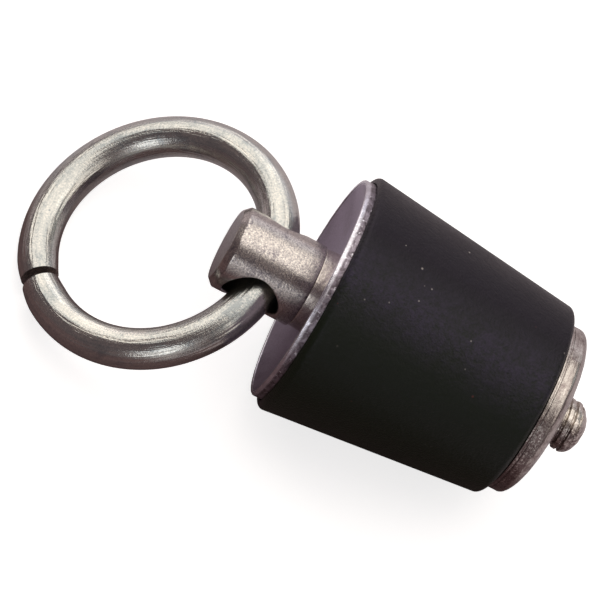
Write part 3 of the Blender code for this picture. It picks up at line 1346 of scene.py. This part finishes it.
@dataclass(kw_only=True)
class GrownPiece(Piece):
    """A piece that a geometry tree makes from its own sizes."""

    tree_sizes: ClassVar[tuple[str, ...]] = ()

    def draw(self, sheet: GeometrySheet) -> None:
        """Draws up the piece in an empty tree."""
        raise NotImplementedError

    def mesh(self) -> Mesh:
        """Runs a tree whose named inputs are the piece's own sizes.

        Returns:
            The mesh in the piece's own frame.
        """
        sizes = {size.replace("_", " ").title(): getattr(self, size) for size in self.tree_sizes}
        sheet = GeometrySheet(f"{self.name}_form", sizes)
        self.draw(sheet)
        return sheet.run(self.name)


@dataclass(kw_only=True)
class ThreadedStub(GrownPiece):
    """The bolt's far end: a right-hand thread that runs out on a peened dome."""

    tree_sizes: ClassVar[tuple[str, ...]] = (
        "radius", "thread_depth", "swell", "swell_length", "pitch", "start", "runout",
        "dome_start", "dome_length", "columns", "rows",
    )
    name: str = "threaded_stub"
    node: str = "eye_bolt"
    body: Body = Body.BOLT
    finish: Finish = STUB_STEEL
    radius: float = 5.15 * MM
    thread_depth: float = 0.60 * MM
    groove_span: Span = (0.5, 0.92)
    swell: float = 0.05 * MM
    swell_length: float = 3.0 * MM
    pitch: float = 1.5 * MM
    start: float = -35.5 * MM
    runout: float = 2.0 * MM
    dome_start: float = -54.9 * MM
    dome_length: float = 3.4 * MM
    dome_fullness: float = 0.8
    dome_row_share: float = 0.2
    cap_row_share: float = 0.99
    bend: float = 0.95 * MM
    bend_from: float = -51.0 * MM
    bend_length: float = 7.0 * MM
    wear_depth: float = 0.16 * MM
    wear_size: float = 1.4 * MM
    thread_wear_share: float = 0.1
    columns: int = 97
    rows: int = 300

    def draw(self, sheet: GeometrySheet) -> None:
        """Draws up the stub: a grid wrapped into a cylinder whose radius follows the thread.

        Args:
            sheet: the empty tree.
        """
        take = sheet.take
        start, dome_start = take("Start"), take("Dome Start")
        grid = sheet.value("GeometryNodeMeshGrid", {
            "Size X": 1.0, "Size Y": 1.0, "Vertices X": take("Columns"), "Vertices Y": take("Rows"),
        })
        across, along, _ = sheet.split(sheet.value("GeometryNodeInputPosition"))
        turn, row = across + 0.5, along + 0.5
        swing = sheet.ramp(row, (0, self.dome_row_share), (math.pi / 2, 0))
        climb = sheet.ramp(row, (self.dome_row_share, self.cap_row_share))
        cap = sheet.ramp(row, (self.cap_row_share, 1), (1, 0))
        drop = take("Dome Length") * sheet.math("SINE", swing)
        station = dome_start - drop + (start - dome_start) * climb
        peened = (1.0 - (station - dome_start) / take("Swell Length")).held()
        crest = take("Radius") + take("Swell") * peened
        blunt = sheet.math("POWER", sheet.math("COSINE", swing), self.dome_fullness)
        phase = sheet.math("FRACT", station / take("Pitch") - turn)
        off_crest = sheet.math("ABSOLUTE", phase - 0.5) * 2.0
        groove = sheet.ramp(off_crest, self.groove_span, interpolation_type="SMOOTHSTEP")
        fade = ((start - station) / take("Runout")).held()
        depth = take("Thread Depth") * (groove * fade)
        radius = sheet.math("MINIMUM", crest * (blunt * cap), crest - depth)
        angle = turn * math.tau
        wrapped = sheet.join(
            radius * sheet.math("COSINE", angle), radius * sheet.math("SINE", angle), station
        )
        sheet.end(sheet.value("GeometryNodeSetPosition", {"Geometry": grid, "Position": wrapped}))

    def mesh(self) -> Mesh:
        """Makes the stub, then bends its tip and roughens its peened end.

        Returns:
            The mesh in the piece's own frame.
        """
        shape = bmesh.new()
        shape.from_mesh(super().mesh())
        mesh = outward(self.name, shape)
        for vertex in mesh.vertices:
            vertex.co.y += self.bend * held((self.bend_from - vertex.co.z) / self.bend_length)
        peened_from = self.dome_start + self.swell_length
        roughen(
            mesh, self.wear_depth, self.wear_size,
            lambda p: held((peened_from - p.z) / self.swell_length, self.thread_wear_share),
        )
        return mesh


@dataclass(kw_only=True)
class PullRing(GrownPiece):
    """The split ring of round wire, one end sprung a little inwards."""

    tree_sizes: ClassVar[tuple[str, ...]] = (
        "ring_radius", "wire_radius", "end_gap", "end_spring", "spring_length", "end_round",
        "gap_angle", "points", "sides",
    )
    name: str = "split_pull_ring"
    node: str = "pull_ring"
    body: Body = Body.RING
    finish: Finish = BRIGHT_WIRE
    ring_radius: float = 24.0 * MM
    wire_radius: float = 4.0 * MM
    end_gap: float = 1.75 * MM
    end_spring: float = -0.15 * MM
    spring_length: float = 12.0 * MM
    end_round: float = 0.3 * MM
    gap_angle: float = math.radians(143.5)
    fall: float = math.radians(26.424)
    centre_out: float = 23.222 * MM
    centre_below: float = 1.221 * MM
    points: int = 400
    sides: int = 72

    def draw(self, sheet: GeometrySheet) -> None:
        """Draws up the ring: a line bent round with its points close together at both ends.

        Args:
            sheet: the empty tree.
        """
        take = sheet.take
        ring, end_round = take("Ring Radius"), take("End Round")
        line = sheet.value("GeometryNodeCurvePrimitiveLine")
        line = sheet.value("GeometryNodeResampleCurve", {"Curve": line, "Count": take("Points")})
        along = sheet.value("GeometryNodeSplineParameter", output="Factor")
        share = sheet.math("COSINE", along * math.pi) * -0.5 + 0.5
        half_gap = take("End Gap") / (ring * 2.0)
        sweep = math.tau - half_gap * 2.0
        near = (1.0 - (1.0 - share) * sweep * ring / take("Spring Length")).held()
        radius = ring - take("End Spring") * (near * near)
        angle = take("Gap Angle") + half_gap + share * sweep
        bent = sheet.join(
            sheet.math("COSINE", angle) * (radius * -1.0), sheet.math("SINE", angle) * radius
        )
        line = sheet.value("GeometryNodeSetPosition", {"Geometry": line, "Position": bent})
        line = sheet.value("GeometryNodeSetCurveNormal", {"Curve": line}, mode="Z_UP")
        to_end = sheet.math("MINIMUM", share, 1.0 - share) * (sweep * ring)
        inside = (1.0 - to_end / end_round).held()
        curl = sheet.math("SQRT", 1.0 - inside * inside)
        width = 1.0 - (1.0 - curl) * end_round / take("Wire Radius")
        line = sheet.value("GeometryNodeSetCurveRadius", {"Curve": line, "Radius": width})
        wire = sheet.value("GeometryNodeCurvePrimitiveCircle", {
            "Resolution": take("Sides"), "Radius": take("Wire Radius"),
        })
        feeds = {"Curve": line, "Profile Curve": wire, "Fill Caps": True}
        swept = sheet.add("GeometryNodeCurveToMesh", feeds)
        if "Scale" in swept.inputs:
            sheet.feed(swept.inputs["Scale"], width)
        sheet.end(swept.outputs[0])

    def frame(self, axis: PlugAxis) -> Matrix:
        """The ring's own frame.

        Args:
            axis: the plug axis, which holds the eye's centre.

        Returns:
            The matrix whose origin is the ring's centre and whose Z stands square to its plane.
        """
        turn = Matrix.Rotation(self.fall, 4, "Y")
        centre = axis.eye + turn @ Vector((self.centre_out, 0, -self.centre_below))
        return Matrix.Translation(centre) @ turn


# Floor, light and camera


@dataclass(frozen=True)
class SoftBox:
    """A soft lamp, placed by its angles from straight up as the plug sees it."""

    name: str
    toward_x: float
    toward_y: float
    width: float
    height: float
    radiance: float
    turn: float = 0.0
    round: bool = False
    colour: Colour = (1.0, 0.955, 0.89)
    distance: float = 2.4

    def facing(self) -> Matrix:
        """The lamp's place.

        Returns:
            The matrix whose Z points away from the plug.
        """
        lean = math.radians(math.hypot(self.toward_x, self.toward_y))
        heading = math.atan2(self.toward_y, self.toward_x)
        turn = Matrix.Rotation(heading, 4, "Z") @ Matrix.Rotation(lean, 4, "Y")
        turn = turn @ Matrix.Rotation(math.radians(self.turn) - heading, 4, "Z")
        return turn @ Matrix.Translation((0, 0, self.distance))

    def span(self, angle: float) -> float:
        """Returns the length that spans an angle, in degrees, at the lamp's distance."""
        return 2 * self.distance * math.tan(math.radians(angle) / 2)

    def build(self) -> None:
        """Makes the lamp, which the camera doesn't see."""
        lamp = bpy.data.lights.new(self.name, "AREA")
        lamp.shape = "ELLIPSE" if self.round else "RECTANGLE"
        lamp.size, lamp.size_y = self.span(self.width), self.span(self.height)
        lamp.color = self.colour
        lamp.energy = self.radiance * math.pi * lamp.size * lamp.size_y
        holder = linked(self.name, lamp)
        holder.matrix_world = self.facing()
        holder.visible_camera = False


@dataclass
class Studio:
    """A floor under soft boxes, white to the camera alone, with a painted shadow that only
    reflections see, and a dim surround for reflections.
    """

    lamps: tuple[SoftBox, ...] = (
        SoftBox("main_box", 13, -34, 92, 67, 1.30, turn=-30),
        SoftBox("low_box", -6, -70, 44, 18, 0.65, colour=(0.96, 0.96, 1.0)),
        SoftBox("front_box", 7, 53, 27, 27, 1.0, round=True, colour=(0.95, 0.98, 1.0)),
        SoftBox("front_fill", -16, 62, 22, 38, 0.30, colour=(0.97, 0.97, 0.98)),
        SoftBox("side_fill", -58, -40, 26, 50, 0.34, colour=(0.86, 1.0, 1.0)),
        SoftBox("left_box", -37, 5, 32, 48, 0.95),
        SoftBox("back_strip", 2, -84, 88, 12, 0.66, colour=(0.98, 0.94, 1.0)),
    )
    floor_size: float = 8.0
    floor_tone: Colour = (0.72, 0.72, 0.72)
    floor_lift: float = 0.72
    back_tone: Colour = (0.64, 0.59, 0.63)
    # Painted shadow that reflections see on the floor's +Y side, and the edges where it starts.
    painted_shadow_tone: Colour = (0.17, 0.118, 0.125)
    shadow_front_edge: Span = (-0.021, 0.000)
    shadow_front_end: Span = (-0.056, -0.050)
    shadow_near_edge: Span = (0.002, 0.014)
    shadow_near_end: Span = (-0.068, -0.062)
    surround: Colour = (0.132, 0.102, 0.106)

    def floor_material(self) -> Material:
        """White to the camera, with the plug's shadow; pale to reflections, with a painted shadow
        on the plug's +Y side.

        Returns:
            The material.
        """
        sheet = MaterialSheet("pale_floor", Matrix.Identity(4), {})
        x, y, _ = sheet.split(sheet.vector)
        # Painted shadow: reflections see the floor dark on the plug's +Y side, except past the
        # plate's end.
        front = sheet.ramp(y, self.shadow_front_edge) * sheet.ramp(x, self.shadow_front_end)
        near = sheet.ramp(y, self.shadow_near_edge) * sheet.ramp(x, self.shadow_near_end)
        reflected_floor = sheet.mix(sheet.math("MAXIMUM", front, near), self.back_tone, self.painted_shadow_tone)
        seen = sheet.value("ShaderNodeLightPath", output="Is Camera Ray")
        sheet.shade("Base Color", sheet.mix(seen, reflected_floor, self.floor_tone))
        sheet.shade("Roughness", 1.0)
        sheet.shade("Specular IOR Level", 0.0)
        sheet.shade("Emission Color", WHITE)
        sheet.shade("Emission Strength", seen * self.floor_lift)
        return sheet.material

    def build(self) -> None:
        """Makes the floor, the lamps and the surrounding light."""
        for lamp in self.lamps:
            lamp.build()
        bpy.ops.mesh.primitive_plane_add(size=self.floor_size)
        floor = bpy.context.object
        floor.name = "floor"
        floor.data.materials.append(self.floor_material())
        world = bpy.data.worlds.new("surround")
        bpy.context.scene.world = world
        world.use_nodes = True
        sheet = NodeSheet(world.node_tree)
        seen = sheet.value("ShaderNodeLightPath", output="Is Camera Ray")
        tone = sheet.mix(seen, self.surround, WHITE)
        sheet.feed(sheet.tree.nodes["Background"].inputs["Color"], tone)
        bpy.context.scene.view_settings.view_transform = "Standard"


@dataclass(frozen=True)
class PhotoCamera:
    """The camera of the photograph, square and seen from high over the plug."""

    tilt_to_x: float = math.radians(1.867)
    tilt_to_y: float = math.radians(24.491)
    turn: float = math.radians(-67.567)
    distance: float = 0.85
    pixels_per_metre: float = 5214.0
    picture: int = 610
    sensor: float = 36.0
    clip_end: float = 100.0
    aim: tuple[float, float, float] = (10.564 * MM, 0.0, 22.0 * MM)
    aim_pixel: tuple[float, float] = (267.6, 275.3)

    def build(self) -> None:
        """Makes the camera, turned so that the point it is aimed by lands on its pixel."""
        back = Vector((
            math.sin(self.tilt_to_x),
            math.sin(self.tilt_to_y) * math.cos(self.tilt_to_x),
            math.cos(self.tilt_to_y) * math.cos(self.tilt_to_x),
        ))
        right = Vector((math.cos(self.turn), math.sin(self.turn), 0)).cross(back).normalized()
        up = back.cross(right)
        place = Vector(self.aim) + back * self.distance
        focal = self.pixels_per_metre * self.distance
        to_right, to_foot = (self.picture / 2 - pixel for pixel in self.aim_pixel)
        back -= right * (to_right / focal) - up * (to_foot / focal)
        back.normalize()
        right = up.cross(back).normalized()
        lens = bpy.data.cameras.new("photo_camera")
        lens.sensor_width = self.sensor
        lens.lens = focal * self.sensor / self.picture
        lens.clip_end = self.clip_end
        camera = linked("photo_camera", lens)
        basis = Matrix((right, back.cross(right), back)).transposed().to_4x4()
        camera.matrix_world = Matrix.Translation(place) @ basis
        bpy.context.scene.camera = camera


def main() -> None:
    """Dresses the plug and sets it in its studio."""
    logging.basicConfig(level=logging.INFO, format="%(message)s")
    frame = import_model()
    axis = PlugAxis.from_joints(frame["joints"])
    trees = {effect: effect.tree() for effect in EFFECTS}
    cup = CupWasher()
    pieces = (
        RubberBung(cup=cup), cup, ThrustCollar(), EndPlate(), EyeBolt(), ThreadedStub(), PullRing()
    )
    for piece in pieces:
        piece.build(axis, trees)
    Studio().build()
    PhotoCamera().build()


if __name__ == "__main__":
    main()
